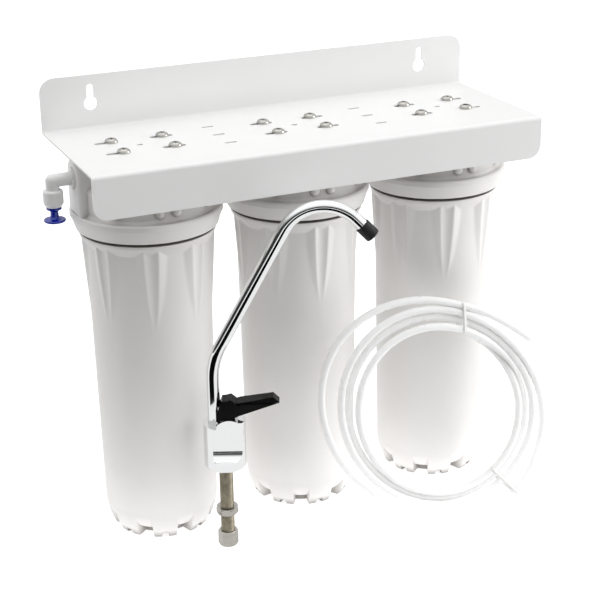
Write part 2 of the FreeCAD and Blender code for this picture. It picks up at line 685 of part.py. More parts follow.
def faucet_body():
    """Cast body: spout column on the left, valve barrel with an arched top and milled flanks."""
    r = FAUCET_R
    base = FAUCET_BASE
    barrel = lathe([(0, base), (r - 2.5, base), ((r - 0.8, base + 0.7), (r, base + 2.4)), (r, STEM_TOP),
                    (0, STEM_TOP)])
    left = ARCH_S - ARCH_R
    shoulder = math.degrees(math.asin((COLUMN_TOP - ARCH_Z) / ARCH_R))
    right = math.degrees(math.asin((RIGHT_TOP - ARCH_Z) / ARCH_R))
    above = prism([(-40, COLUMN_TOP), arch_point(180 - shoulder), (arch_point(90 + 12), arch_point(right)),
                   (40, RIGHT_TOP), (40, 140), (-40, 140)], -30, 30)
    solid = barrel.cut(above)
    pocket_outline = [(left, COVE_Z - COVE_R - 6), (left, ARCH_Z), (arch_point(135), arch_point(90)),
                      (30, ARCH_Z + ARCH_R), (30, COVE_Z - COVE_R - 6)]
    for side in (-1, 1):
        cut = prism(pocket_outline, min(side * FLAT_T, side * 30), max(side * FLAT_T, side * 30))
        cove = Part.makeCylinder(COVE_R, 60, V(-30, side * (FLAT_T + COVE_R), COVE_Z), V(1, 0, 0))
        tall = box(-30, 30, min(side * FLAT_T, side * 30), max(side * FLAT_T, side * 30), COVE_Z, 130)
        solid = solid.cut(cut.common(fuse_all([cove, tall])))
    bores = [
        cyl(SPOUT_R + THREAD_GAP, SPOUT_FOOT - 1.0, ARCH_Z + ARCH_R + 1, SPOUT_S),
        cyl(SHANK_R, base - 1, SHANK_TOP),
        cyl(3.0, SHANK_TOP - 1, VALVE_FLOOR),
        cyl(VALVE_R, VALVE_FLOOR, VALVE_ROOF, ARCH_S),
        cyl(STEM_R + THREAD_GAP, VALVE_ROOF - 1, STEM_TOP, ARCH_S),
        rod(1.6, V(SPOUT_S, 0, SPOUT_FOOT + 1.5), V(ARCH_S, 0, SPOUT_FOOT + 1.5)),
        cyl(3.0, VALVE_FLOOR - 1, VALVE_FLOOR + 1, ARCH_S / 2),
    ]
    return place_faucet(solid.cut(Part.makeCompound(bores)))


def faucet_shank():
    return place_faucet(ring(SHANK_R, SHANK_BORE_R, SHANK_BOTTOM, SHANK_TOP))


def lock_nut():
    nut = hexagon(LOCK_NUT_ACROSS, LOCK_NUT_Z, LOCK_NUT_Z + LOCK_NUT_H)
    return place_faucet(nut.cut(cyl(SHANK_R + THREAD_GAP, 0, SHANK_TOP)))


def lock_washer():
    z = LOCK_NUT_Z + LOCK_NUT_H
    return place_faucet(ring(WASHER_R, SHANK_R + THREAD_GAP, z, z + WASHER_T))


def compression_nut():
    nut = hexagon(COMP_NUT_ACROSS, 0, COMP_NUT_H, 1.2)
    nut = nut.cut(cyl(SHANK_R + THREAD_GAP, NUT_FLOOR, COMP_NUT_H + 1))
    return place_faucet(nut.cut(cyl(COLLET_BORE_R, -1, NUT_FLOOR + 1)))


def tube_ferrule():
    """Gripping sleeve between the compression nut's floor and the shank's end."""
    return place_faucet(ring(FERRULE_R, COLLET_BORE_R, NUT_FLOOR + 0.1, SHANK_BOTTOM - 0.1))


def spout_path(start_z):
    """Centreline in s, z: up, a gentle lean, the top arc and the dive to the tip."""
    lean = math.radians(SPOUT_LEAN_DEG)
    dive = math.radians(SPOUT_DIVE_DEG)
    centre = V(SPOUT_PEAK_S, 0, SPOUT_PEAK_Z - SPOUT_ARC_R)

    def top(a):
        return centre + V(SPOUT_ARC_R * math.sin(a), 0, SPOUT_ARC_R * math.cos(a))
    rise_end = top(lean - math.pi / 2)
    rise = V(math.sin(lean), 0, math.cos(lean))
    knee = rise_end - rise * ((rise_end.x - SPOUT_S) / rise.x)
    tangent = SPOUT_LOW_R * math.tan(lean / 2)
    low_centre = V(SPOUT_S + SPOUT_LOW_R, 0, knee.z - tangent)

    def low(a):
        return low_centre + V(-SPOUT_LOW_R * math.cos(a), 0, SPOUT_LOW_R * math.sin(a))
    fall = V(math.cos(dive), 0, -math.sin(dive))
    tip = top(dive) + fall * SPOUT_DIVE_LENGTH
    edges = [
        Part.LineSegment(V(SPOUT_S, 0, start_z), low(0)).toShape(),
        Part.Arc(low(0), low(lean / 2), low(lean)).toShape(),
        Part.LineSegment(low(lean), rise_end).toShape(),
        Part.Arc(rise_end, top(0), top(dive)).toShape(),
        Part.LineSegment(top(dive), tip).toShape(),
    ]
    return Part.Wire(edges), tip, fall


def pipe(path, radius, start):
    section = Part.Wire([Part.makeCircle(radius, start, UP)])
    return path.makePipeShell([section], True, False)


def spout_tube():
    path = spout_path(SPOUT_FOOT)[0]
    start = V(SPOUT_S, 0, SPOUT_FOOT)
    tube = pipe(path, SPOUT_R, start).cut(pipe(path, SPOUT_BORE_R, start))
    grooves = [ring(SPOUT_R + 1, SPOUT_R - 1.05, z - 0.55, z + 0.55, SPOUT_S)
               for z in spout_oring_heights()]
    return place_faucet(tube.cut(Part.makeCompound(grooves)))


def spout_oring_heights():
    return (SPOUT_FOOT + 6.0, SPOUT_FOOT + 10.0)


def spout_orings():
    rings = []
    for z in spout_oring_heights():
        torus = Part.makeTorus(SPOUT_R - 0.52, 0.5, V(0, 0, 0), UP)
        torus.translate(V(SPOUT_S, 0, z))
        rings.append(torus)
    return place_faucet(Part.makeCompound(rings))


def spout_tip():
    """Rubber outlet sleeve over the end of the spout."""
    tip, fall = spout_path(SPOUT_FOOT)[1:]
    start = tip - fall * (TIP_LENGTH - 4.0)
    end = start + fall * TIP_LENGTH
    sleeve = rod(TIP_R, start, end)
    edges = [e for e in sleeve.Edges if e.Curve.TypeId == "Part::GeomCircle"]
    sleeve = sleeve.makeFillet(0.7, edges)
    sleeve = sleeve.cut(rod(SPOUT_R, start - fall, tip))
    return place_faucet(sleeve.cut(rod(SPOUT_BORE_R, start, end + fall)))


def lever():
    """Hollow hood that rocks on the body's arch, with a raised ridge and a tapering thumb arm."""
    seat = ARCH_R + 0.3
    hood = prism([arch_point(134, seat), (arch_point(107, seat), arch_point(80, seat)), (12.0, 118.4),
                  (12.6, 126.0), (9.8, 129.4), (6.0, 132.6), (2.6, 131.6), (-1.2, 131.2), (-5.0, 122.0)],
                 -LEVER_HALF, LEVER_HALF)
    hollow = prism([(-30, 100), (30, 100), (10.6, 112.0), (10.6, 123.0), (8.0, 127.4), (-0.8, 129.0),
                    (-5.0, 129.0), (-30, 122)], -LEVER_HALF + LEVER_WALL, LEVER_HALF - LEVER_WALL)
    arm = prism([(8.0, 121.6), (12.0, 118.4), (42.6, 126.6), (44.2, 127.8), (44.4, 129.2), (39.6, 133.8),
                 (12.0, 129.6), (8.0, 128.6)], -LEVER_HALF, LEVER_HALF)
    taper = Part.makePolygon([V(7.0, -LEVER_HALF, 0), V(44.6, -LEVER_HALF * 0.72, 0),
                              V(44.6, LEVER_HALF * 0.72, 0), V(7.0, LEVER_HALF, 0), V(7.0, -LEVER_HALF, 0)])
    arm = arm.common(Part.Face(taper).extrude(V(0, 0, 200)))
    bevels = []
    for side in (-1, 1):
        bevel = prism([(9.0, 200), (9.0, 125), (50, 125), (50, 200)], 0, 20)
        bevel.rotate(V(0, 0, 128.5), V(1, 0, 0), -58)
        bevel.translate(V(0, LEVER_HALF * 0.66, 0))
        if side < 0:
            bevel = bevel.mirror(V(0, 0, 0), V(0, 1, 0))
        bevels.append(bevel)
    arm = arm.cut(Part.makeCompound(bevels))
    return place_faucet(hood.cut(hollow).fuse(arm).removeSplitter())


def valve_stem():
    """Plunger rod with a cross pin under the lever's hood and a flange for the spring."""
    flange_top = STEM_FLANGE_Z + STEM_FLANGE_T
    shaft = cyl(STEM_R, flange_top, STEM_TOP, ARCH_S)
    flange = cyl(STEM_FLANGE_R, STEM_FLANGE_Z, flange_top, ARCH_S)
    pin = rod(PIN_R, V(ARCH_S, -PIN_HALF, PIN_Z), V(ARCH_S, PIN_HALF, PIN_Z))
    return place_faucet(fuse_all([shaft, flange, pin]))


def valve_washer():
    return place_faucet(cyl(STEM_FLANGE_R, VALVE_FLOOR + 0.1, STEM_FLANGE_Z, ARCH_S))


def valve_spring():
    """Return spring between the stem's flange and the roof of the valve chamber."""
    end_room = SPRING_WIRE_R + 0.05
    pitch = (SPRING_HIGH - SPRING_LOW - 2 * end_room) / SPRING_TURNS
    helix = Part.makeHelix(pitch, pitch * SPRING_TURNS, SPRING_R)
    section = Part.Wire([Part.makeCircle(SPRING_WIRE_R, V(SPRING_R, 0, 0), V(0, 1, 0))])
    coil = Part.Wire(helix.Edges).makePipeShell([section], True, True)
    coil.translate(V(ARCH_S, 0, SPRING_LOW + end_room))
    return place_faucet(coil)


# ---- tubing coil ----

def place_coil(shape):
    """From the coil's own frame, u along X and h up the lean, to the row frame."""
    moved = shape.copy()
    moved.rotate(V(0, 0, 0), V(1, 0, 0), -COIL_LEAN_DEG)
    moved.translate(V(0, COIL_Y, COIL_LIFT))
    return moved


def coil_block(grow=0.0):
    """Outer shape of the wound coil, upright, before it is leaned back; grow swells it evenly."""
    half = COIL_THICK / 2 + grow
    facing = V(0, 1, 0)
    oval = Part.Ellipse(V(COIL_OUTER_U + COIL_OUTER_RU + grow, -half, COIL_OUTER_H),
                        V(COIL_OUTER_U, -half, COIL_OUTER_H + COIL_OUTER_RH + grow),
                        V(COIL_OUTER_U, -half, COIL_OUTER_H))
    outer = Part.Face(Part.Wire([oval.toShape()])).extrude(facing * 2 * half)
    hole_start = V(COIL_HOLE_U, -half - 1, COIL_HOLE_H)
    hole = Part.makeCylinder(COIL_HOLE_R - grow, 2 * half + 2, hole_start, facing)
    block = outer.cut(hole)
    rims = [e for e in block.Edges if e.BoundBox.YMax - e.BoundBox.YMin < 1e-6]
    return block.makeFillet(COIL_EDGE_R + grow, rims)


def tubing_coil():
    return place_coil(coil_block())


def tie_slice(degrees):
    """Thin upright slab along the ray from the hole's middle, degrees from up towards +X."""
    slab = Part.makeBox(TIE_WIDTH, 60, 60, V(-TIE_WIDTH / 2, -30, COIL_HOLE_R - 8))
    slab.rotate(V(0, 0, 0), V(0, 1, 0), degrees)
    slab.translate(V(COIL_HOLE_U, 0, COIL_HOLE_H))
    return slab


def coil_ties():
    """Clear bands round the bundle, square to the turns."""
    skin = coil_block(TIE_T).cut(coil_block())
    return place_coil(Part.makeCompound([skin.common(tie_slice(a)) for a in TIE_DEG]))


# ---- every sub-part by node name ----

def all_parts():
    parts = {"bracket_plate": bracket_plate(), "bracket_screws": bracket_screws()}
    for stage in STAGES:
        number = stage + 2
        parts["cap_%d" % number] = cap(stage)
        parts["sump_%d" % number] = sump(stage)
        parts["sump_oring_%d" % number] = sump_oring(stage)
        parts["cartridge_media_%d" % number] = cartridge_media(stage)
        parts["cartridge_core_%d" % number] = cartridge_core(stage)
        parts["cartridge_end_caps_%d" % number] = cartridge_end_caps(stage)
        parts["cartridge_gaskets_%d" % number] = cartridge_gaskets(stage)
    parts["stage_nipple_1_2"] = stage_nipple(-0.5)
    parts["stage_nipple_2_3"] = stage_nipple(0.5)
    for name, side in (("inlet", -1), ("outlet", 1)):
        parts[name + "_elbow"] = elbow(side)
        parts[name + "_oring"] = elbow_oring(side)
        parts[name + "_collet"] = elbow_collet(side)
    parts["inlet_plug"] = inlet_plug()
    for maker in (faucet_body, faucet_shank, lock_washer, lock_nut, compression_nut, tube_ferrule,
                  spout_tube, spout_orings, spout_tip, lever, valve_stem, valve_washer, valve_spring,
                  tubing_coil, coil_ties):
        parts[maker.__name__] = maker()
    return parts


def main():
    os.makedirs("parts", exist_ok=True)
    for name, shape in all_parts().items():
        b = shape.BoundBox
        limits = (b.XMin, b.XMax, b.YMin, b.YMax, b.ZMin, b.ZMax)
        extent = "x %.1f..%.1f  y %.1f..%.1f  z %.2f..%.1f" % limits
        print("%-22s valid %s solids %2d  %s  volume %.0f" % (
            name, shape.isValid(), len(shape.Solids), extent, shape.Volume))
        shape.exportStep("parts/%s.step" % name)


main()
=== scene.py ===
"""Looks of a three-stage drinking-water filter with its faucet and coil of tubing."""
import json
import math

import bmesh
import bpy
from mathutils import Matrix, Vector


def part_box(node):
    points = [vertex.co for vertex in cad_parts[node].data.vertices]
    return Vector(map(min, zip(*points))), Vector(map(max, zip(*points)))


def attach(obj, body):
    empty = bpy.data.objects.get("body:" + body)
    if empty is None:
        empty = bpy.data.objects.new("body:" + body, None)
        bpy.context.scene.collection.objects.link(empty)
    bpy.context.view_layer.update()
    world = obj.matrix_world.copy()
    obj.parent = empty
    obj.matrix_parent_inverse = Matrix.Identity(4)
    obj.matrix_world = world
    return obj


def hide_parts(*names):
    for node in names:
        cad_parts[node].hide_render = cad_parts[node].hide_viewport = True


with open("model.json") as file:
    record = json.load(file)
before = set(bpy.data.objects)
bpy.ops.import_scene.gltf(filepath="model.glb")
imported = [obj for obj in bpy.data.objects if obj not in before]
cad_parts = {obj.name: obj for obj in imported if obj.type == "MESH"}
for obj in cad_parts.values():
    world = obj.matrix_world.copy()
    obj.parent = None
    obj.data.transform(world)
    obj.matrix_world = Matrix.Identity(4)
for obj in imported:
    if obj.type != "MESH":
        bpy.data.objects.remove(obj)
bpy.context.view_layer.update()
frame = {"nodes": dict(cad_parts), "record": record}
MM = 0.001

# ---- camera ----
CAMERA_PLACE = (-0.4695, -1.0874, 0.6419)
CAMERA_YAW = math.radians(23.466)
CAMERA_PITCH = math.radians(21.562)
CAMERA_ROLL = math.radians(-0.898)
CAMERA_LENS_MM = 90.54


def make_camera():
    data = bpy.data.cameras.new("camera")
    data.sensor_width = 36
    data.lens = CAMERA_LENS_MM
    camera = bpy.data.objects.new("camera", data)
    bpy.context.scene.collection.objects.link(camera)
    turn = (Matrix.Rotation(-CAMERA_YAW, 4, "Z") @ Matrix.Rotation(math.pi / 2 - CAMERA_PITCH, 4, "X")
            @ Matrix.Rotation(CAMERA_ROLL, 4, "Z"))
    camera.matrix_world = Matrix.Translation(CAMERA_PLACE) @ turn
    bpy.context.scene.camera = camera


make_camera()


# ---- the coil of tubing ----
TUBE_D = 6.35 * MM
COIL_LEAN = math.radians(12)
COIL_FOOT_Y = -97.7 * MM
COIL_LIFT = 0.7 * MM
COIL_TILT = math.radians(-33.9)
POINTS_PER_TURN = 28
TIE_ANGLE = math.radians(98)
LAYER = 3.2
FLOOR_REACH = 8.3
# each turn is an oval in the coil's own plane: centre across, centre up, long and short radius, depth, in mm
TURNS = (
    (89.6, 90.4, 110.1, 88.3, LAYER),
    (93.4, 90.2, 94.2, 81.9, LAYER),
    (93.6, 89.5, 86.1, 76.3, 0.0),
    (94.2, 88.0, 78.3, 70.0, LAYER),
    (94.2, 88.0, 78.3, 70.0, -3.5),
)


def soft_max(a, b, width=0.5):
    """The larger of two lengths, with the corner between them rounded."""
    return (a + b + math.sqrt((a - b) ** 2 + width * width)) / 2 - width * 0.15


def smooth_step(low, high, value):
    share = min(1.0, max(0.0, (value - low) / (high - low)))
    return share * share * (3 - 2 * share)


def coil_axes():
    """Across, up the lean and out towards the viewer."""
    up = Vector((0, math.sin(COIL_LEAN), math.cos(COIL_LEAN)))
    out = Vector((0, -math.cos(COIL_LEAN), math.sin(COIL_LEAN)))
    return Vector((1, 0, 0)), up, out


def coil_point(u, h, depth):
    """From the coil's own plane, in mm, to the row frame, kept above the floor."""
    across, up, out = coil_axes()
    point = Vector((0, COIL_FOOT_Y, COIL_LIFT)) + across * (u * MM) + up * (h * MM) + out * (depth * MM)
    point.z = soft_max(point.z / MM, TUBE_D / 2 / MM + 0.1) * MM
    return point


def oval_point(turn, angle):
    """u, h on one turn's oval."""
    centre_u, centre_h, long_r, short_r = turn[:4]
    a = long_r * math.cos(angle)
    b = short_r * math.sin(angle)
    return (centre_u + a * math.cos(COIL_TILT) - b * math.sin(COIL_TILT),
            centre_h + a * math.sin(COIL_TILT) + b * math.cos(COIL_TILT))


def turn_at(turns):
    """Oval and depth after so many turns from the tie, easing inwards as each comes round to it."""
    whole = min(int(turns), len(TURNS) - 2)
    ease = smooth_step(0.8, 1.0, turns - whole)
    return [a + (b - a) * ease for a, b in zip(TURNS[whole], TURNS[whole + 1])]


def coil_route():
    """The free end, then turn after turn, anticlockwise from the upper tie."""
    points = [(185.5, 133.5, 3.2), (174.2, 143.4, 3.2), (162.2, 152.4, 3.2), (149.0, 161.0, 3.2),
              (136.0, 168.0, 3.2)]
    for k in range(1, (len(TURNS) - 1) * POINTS_PER_TURN + 1):
        turns = k / POINTS_PER_TURN
        oval = turn_at(turns)
        u, h = oval_point(oval, TIE_ANGLE + 2 * math.pi * turns)
        lying = smooth_step(42, 6, h) if turns < 1 else 0.0
        points.append((u, h, oval[4] + FLOOR_REACH * lying))
    return [coil_point(*p) for p in points]


def curve_through(name, points, radius, resolution=6):
    """A round tube along one open NURBS spline."""
    curve = bpy.data.curves.new(name, "CURVE")
    curve.dimensions = "3D"
    spline = curve.splines.new("NURBS")
    spline.points.add(len(points) - 1)
    for target, point in zip(spline.points, points):
        target.co = (*point, 1)
        target.radius = radius
    spline.order_u = 3
    spline.use_endpoint_u = True
    curve.resolution_u = resolution
    curve.bevel_depth = 1.0
    curve.bevel_resolution = 6
    curve.use_fill_caps = True
    piece = bpy.data.objects.new(name, curve)
    bpy.context.scene.collection.objects.link(piece)
    return piece


def spline_length(points):
    """Length of the quadratic spline that these control points make."""
    total = 0.0
    for a, b, c in zip(points, points[1:], points[2:]):
        start, end = (a + b) / 2, (b + c) / 2
        before = start
        for k in range(1, 9):
            t = k / 8
            now = start.lerp(b, t).lerp(b.lerp(end, t), t)
            total += (now - before).length
            before = now
    return total


COIL_ROUTE = coil_route()
print("coil length %.3f m" % spline_length(COIL_ROUTE))


def make_coil():
    coil = curve_through("tubing", COIL_ROUTE, TUBE_D / 2)
    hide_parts("tubing_coil")
    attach(coil, "tubing")
    return coil


coil = make_coil()


# ---- world, floor and lights ----

def new_nodes(tree):
    tree.nodes.clear()
    return tree.nodes, tree.links


DARK_SIDE = Vector((-0.804, -0.595, 0.0))
SIDE_LIGHT = 1.3
FRONT_LIGHT = 0.05
TOP_LIGHT = 1.35
BACK_SHARE = 0.35
FRONT_FADE = (0.2, 0.6)
BACK_FADE = (-0.75, -0.05)
HEIGHT_FADE = (0.15, 0.7)


def faded(nodes, links, source, between, values):
    """A value that eases from one number to the other while its source goes between two limits."""
    fade = nodes.new("ShaderNodeMapRange")
    fade.interpolation_type = "SMOOTHSTEP"
    fade.inputs["From Min"].default_value = between[0]
    fade.inputs["From Max"].default_value = between[1]
    fade.inputs["To Min"].default_value = values[0]
    fade.inputs["To Max"].default_value = values[1]
    links.new(source, fade.inputs["Value"])
    return fade.outputs[0]


def make_world():
    """White surround, brightest overhead, dark towards the open front and dimmer at the back."""
    world = bpy.data.worlds.new("studio")
    bpy.context.scene.world = world
    world.use_nodes = True
    nodes, links = new_nodes(world.node_tree)
    output = nodes.new("ShaderNodeOutputWorld")
    background = nodes.new("ShaderNodeBackground")
    direction = nodes.new("ShaderNodeTexCoord").outputs["Generated"]
    frontness = nodes.new("ShaderNodeVectorMath")
    frontness.operation = "DOT_PRODUCT"
    frontness.inputs[1].default_value = DARK_SIDE
    links.new(direction, frontness.inputs[0])
    front = faded(nodes, links, frontness.outputs["Value"], FRONT_FADE, (SIDE_LIGHT, FRONT_LIGHT))
    back = faded(nodes, links, frontness.outputs["Value"], BACK_FADE, (BACK_SHARE, 1.0))
    around = nodes.new("ShaderNodeMath")
    around.operation = "MULTIPLY"
    links.new(front, around.inputs[0])
    links.new(back, around.inputs[1])
    split = nodes.new("ShaderNodeSeparateXYZ")
    links.new(direction, split.inputs[0])
    height = faded(nodes, links, split.outputs["Z"], HEIGHT_FADE, (0.0, 1.0))
    blend = nodes.new("ShaderNodeMix")
    blend.data_type = "FLOAT"
    blend.inputs["B"].default_value = TOP_LIGHT
    links.new(height, blend.inputs["Factor"])
    links.new(around.outputs[0], blend.inputs["A"])
    links.new(blend.outputs["Result"], background.inputs["Strength"])
    links.new(background.outputs[0], output.inputs[0])


def plane(name, width, depth, place):
    half_w, half_d = width / 2, depth / 2
    mesh = bpy.data.meshes.new(name)
    mesh.from_pydata([(-half_w, -half_d, 0), (half_w, -half_d, 0), (half_w, half_d, 0), (-half_w, half_d, 0)],
                     [], [(0, 1, 2, 3)])
    piece = bpy.data.objects.new(name, mesh)
    piece.location = place
    bpy.context.scene.collection.objects.link(piece)
    return piece


def matte_glow(name, albedo, glow):
    """Matte paint that also glows, so that it stays white under a low light."""
    paint = bpy.data.materials.new(name)
    paint.use_nodes = True
    shader = paint.node_tree.nodes["Principled BSDF"]
    shader.inputs["Base Color"].default_value = (albedo, albedo, albedo, 1)
    shader.inputs["Roughness"].default_value = 0.9
    shader.inputs["Specular IOR Level"].default_value = 0
    shader.inputs["Emission Color"].default_value = (1, 1, 1, 1)
    shader.inputs["Emission Strength"].default_value = glow
    return paint


# how far each unseen card lies below the floor, so that none crosses another
BOUNCE_DEPTH = 1.5 * MM
MIRRORED_DEPTH = 1.2 * MM
SHADE_DEPTH = 1.0 * MM
CLOTH_DEPTH = 0.5 * MM
FLOOR_SIDE = 12


def make_floor():
    """The floor that is seen, the one that lights the parts from underneath and the one they mirror."""
    floor = plane("floor", FLOOR_SIDE, FLOOR_SIDE, (0, 0, 0))
    floor.data.materials.append(matte_glow("floor_white", 0.5, 0.85))
    floor.visible_diffuse = False
    floor.visible_glossy = False
    bounce = plane("bounce_floor", FLOOR_SIDE, FLOOR_SIDE, (0, 0, -BOUNCE_DEPTH))
    bounce.data.materials.append(matte_glow("bounce_white", 0.7, 0.95))
    bounce.visible_camera = False
    bounce.visible_glossy = False
    mirrored = plane("mirrored_floor", FLOOR_SIDE, FLOOR_SIDE, (0, 0, -MIRRORED_DEPTH))
    mirrored.data.materials.append(matte_glow("mirrored_white", 0.0, 0.93))
    mirrored.visible_camera = False
    mirrored.visible_diffuse = False
    mirrored.visible_shadow = False


FAUCET = Vector((-95.0, -69.3, 0)) * MM
FAUCET_TURN = math.radians(-23.5)


def floor_sector(name, inner, outer, first_deg, last_deg, height):
    """Flat ring sector about the faucet, angles counted from the direction of the camera."""
    to_camera = math.atan2(CAMERA_PLACE[1] - FAUCET.y, CAMERA_PLACE[0] - FAUCET.x)
    steps = 24
    vertices, faces = [], []
    for k in range(steps + 1):
        a = to_camera + math.radians(first_deg + (last_deg - first_deg) * k / steps)
        for radius in (inner, outer):
            vertices.append((FAUCET.x + radius * math.cos(a), FAUCET.y + radius * math.sin(a), height))
    for k in range(steps):
        faces.append((2 * k, 2 * k + 1, 2 * k + 3, 2 * k + 2))
    mesh = bpy.data.meshes.new(name)
    mesh.from_pydata(vertices, [], faces)
    card = bpy.data.objects.new(name, mesh)
    bpy.context.scene.collection.objects.link(card)
    card.visible_camera = False
    card.visible_shadow = False
    card.visible_transmission = False
    return card


def make_dark_floor():
    """The darker floor ahead and behind, and the black cloth that the chrome mirrors."""
    ahead = floor_sector("floor_ahead", 0.2, 2.5, -85, 70, -SHADE_DEPTH)
    ahead.data.materials.append(matte_glow("floor_grey", 0.003, 0.13))
    ahead.visible_glossy = False
    behind = floor_sector("floor_behind", 0.30, 2.5, 115, 245, -SHADE_DEPTH)
    behind.data.materials.append(matte_glow("floor_grey_behind", 0.2, 0.12))
    behind.visible_glossy = False
    cloth = floor_sector("black_cloth", 0.28, 1.6, -68, 16, -CLOTH_DEPTH)
    cloth.data.materials.append(matte_glow("cloth_black", 0.003, 0.0))
    cloth.visible_diffuse = False


def area_light(name, place, aim, size, watts):
    data = bpy.data.lights.new(name, "AREA")
    data.shape = "RECTANGLE"
    data.size, data.size_y = size
    data.energy = watts
    light = bpy.data.objects.new(name, data)
    light.location = place
    light.rotation_euler = (Vector(aim) - Vector(place)).to_track_quat("-Z", "Y").to_euler()
    bpy.context.scene.collection.objects.link(light)


def make_stage():
    bpy.context.scene.view_settings.view_transform = "Standard"
    make_world()
    make_floor()
    make_dark_floor()
    area_light("top_box", (0.1, 0.2, 1.9), (0, 0, 0.2), (1.6, 1.2), 4)
    area_light("right_box", (1.5, -0.5, 0.7), (0, 0, 0.15), (0.8, 1.0), 10)


make_stage()


# ---- materials ----

class Paint:
    """A principled material with helpers for procedural colour, roughness and bump."""

    def __init__(self, name, color, roughness, metallic=0.0, **sockets):
        self.material = bpy.data.materials.new(name)
        self.material.use_nodes = True
        self.nodes = self.material.node_tree.nodes
        self.links = self.material.node_tree.links
        self.shader = self.nodes["Principled BSDF"]
        self.shader.inputs["Base Color"].default_value = (*color, 1)
        self.shader.inputs["Roughness"].default_value = roughness
        self.shader.inputs["Metallic"].default_value = metallic
        for socket, value in sockets.items():
            self.shader.inputs[socket.replace("_", " ")].default_value = value
        self.place = self.nodes.new("ShaderNodeTexCoord").outputs["Object"]
        self.normal = None

    def noise(self, size_mm, detail=2.0, stretch=(1, 1, 1)):
        """Noise whose features are about size_mm across, longer along the axes that stretch is under 1."""
        scale = self.nodes.new("ShaderNodeMapping")
        scale.inputs["Scale"].default_value = stretch
        self.links.new(self.place, scale.inputs["Vector"])
        texture = self.nodes.new("ShaderNodeTexNoise")
        texture.inputs["Scale"].default_value = 1000 / size_mm
        texture.inputs["Detail"].default_value = detail
        self.links.new(scale.outputs[0], texture.inputs["Vector"])
        return texture.outputs["Fac"]

    def ranged(self, source, low, high, start=0.3, end=0.7):
        spread = self.nodes.new("ShaderNodeMapRange")
        spread.inputs["From Min"].default_value = start
        spread.inputs["From Max"].default_value = end
        spread.inputs["To Min"].default_value = low
        spread.inputs["To Max"].default_value = high
        self.links.new(source, spread.inputs["Value"])
        return spread.outputs["Result"]

    def ramp(self, source, *stops):
        """Colour from a value: stops are (place, (r, g, b))."""
        ramp = self.nodes.new("ShaderNodeValToRGB")
        elements = ramp.color_ramp.elements
        while len(elements) < len(stops):
            elements.new(0.5)
        for element, (place, color) in zip(elements, stops):
            element.position = place
            element.color = (*color, 1)
        self.links.new(source, ramp.inputs["Fac"])
        return ramp.outputs["Color"]

    def painted_crevice_shade(self, color_socket, reach_mm, dark):
        """Painted shade: darkens a colour towards a dark tint where the surface is closely surrounded, as
        shade falls in creases and recesses.
        """
        occlusion = self.nodes.new("ShaderNodeAmbientOcclusion")
        occlusion.samples = 8
        occlusion.inputs["Distance"].default_value = reach_mm * MM
        blend = self.nodes.new("ShaderNodeMix")
        blend.data_type = "RGBA"
        # painted shade: this tint is the colour laid into creases and recesses in place of real shade
        blend.inputs["A"].default_value = (*dark, 1)
        self.links.new(self.ranged(occlusion.outputs["AO"], 0.0, 1.0, 0.15, 0.85), blend.inputs["Factor"])
        self.links.new(color_socket, blend.inputs["B"])
        return blend.outputs["Result"]

    def color(self, source):
        self.links.new(source, self.shader.inputs["Base Color"])
        return self

    def roughness(self, source):
        self.links.new(source, self.shader.inputs["Roughness"])
        return self

    def bump(self, source, height_mm, strength=1.0):
        bump = self.nodes.new("ShaderNodeBump")
        bump.inputs["Strength"].default_value = strength
        bump.inputs["Distance"].default_value = height_mm * MM
        self.links.new(source, bump.inputs["Height"])
        if self.normal is not None:
            self.links.new(self.normal, bump.inputs["Normal"])
        self.normal = bump.outputs["Normal"]
        self.links.new(self.normal, self.shader.inputs["Normal"])
        return self


def tinted(color, factor):
    return tuple(min(1.0, c * factor) for c in color)


def powder_coat():
    white = (0.86, 0.86, 0.855)
    paint = Paint("powder_coat", white, 0.4, Specular_IOR_Level=0.45)
    paint.color(paint.ramp(paint.noise(40), (0.3, tinted(white, 0.985)), (0.7, white)))
    paint.roughness(paint.ranged(paint.noise(3), 0.34, 0.46))
    return paint.bump(paint.noise(1.3, 3), 0.03).bump(paint.noise(0.35), 0.006)


def housing_plastic():
    paint = Paint("housing_plastic", (0.82, 0.81, 0.795), 0.38, Specular_IOR_Level=0.5)
    body = (0.85, 0.835, 0.82)
    tone = paint.ramp(paint.noise(30, 3), (0.3, tinted(body, 0.985)), (0.7, body))
    # painted shade: warm dark tint laid into creases, gaps and between the feet, where shade falls
    paint.color(paint.painted_crevice_shade(tone, 9, (0.2, 0.18, 0.16)))
    paint.roughness(paint.ranged(paint.noise(6), 0.32, 0.44))
    return paint.bump(paint.noise(0.6, 3), 0.012).bump(paint.noise(9, 1, (1, 1, 0.3)), 0.02)


def fitting_plastic():
    paint = Paint("fitting_plastic", (0.86, 0.86, 0.855), 0.3)
    paint.roughness(paint.ranged(paint.noise(2), 0.24, 0.36))
    white = (0.87, 0.87, 0.865)
    paint.color(paint.ramp(paint.noise(8), (0.3, tinted(white, 0.98)), (0.7, white)))
    return paint.bump(paint.noise(0.5), 0.006)


def blue_plastic():
    blue = (0.005, 0.024, 0.42)
    paint = Paint("blue_plastic", blue, 0.12, Coat_Weight=0.6, Coat_Roughness=0.06)
    paint.color(paint.ramp(paint.noise(5), (0.3, tinted(blue, 0.85)), (0.7, blue)))
    paint.roughness(paint.ranged(paint.noise(1.5), 0.1, 0.2))
    return paint.bump(paint.noise(0.8), 0.004)


def metal(name, color, rough_low, rough_high, grain_mm, height_mm, dull=0.9):
    paint = Paint(name, color, rough_low, 1.0)
    paint.color(paint.ramp(paint.noise(grain_mm * 6), (0.3, tinted(color, dull)), (0.7, color)))
    paint.roughness(paint.ranged(paint.noise(grain_mm * 3, 3), rough_low, rough_high))
    return paint.bump(paint.noise(grain_mm), height_mm)


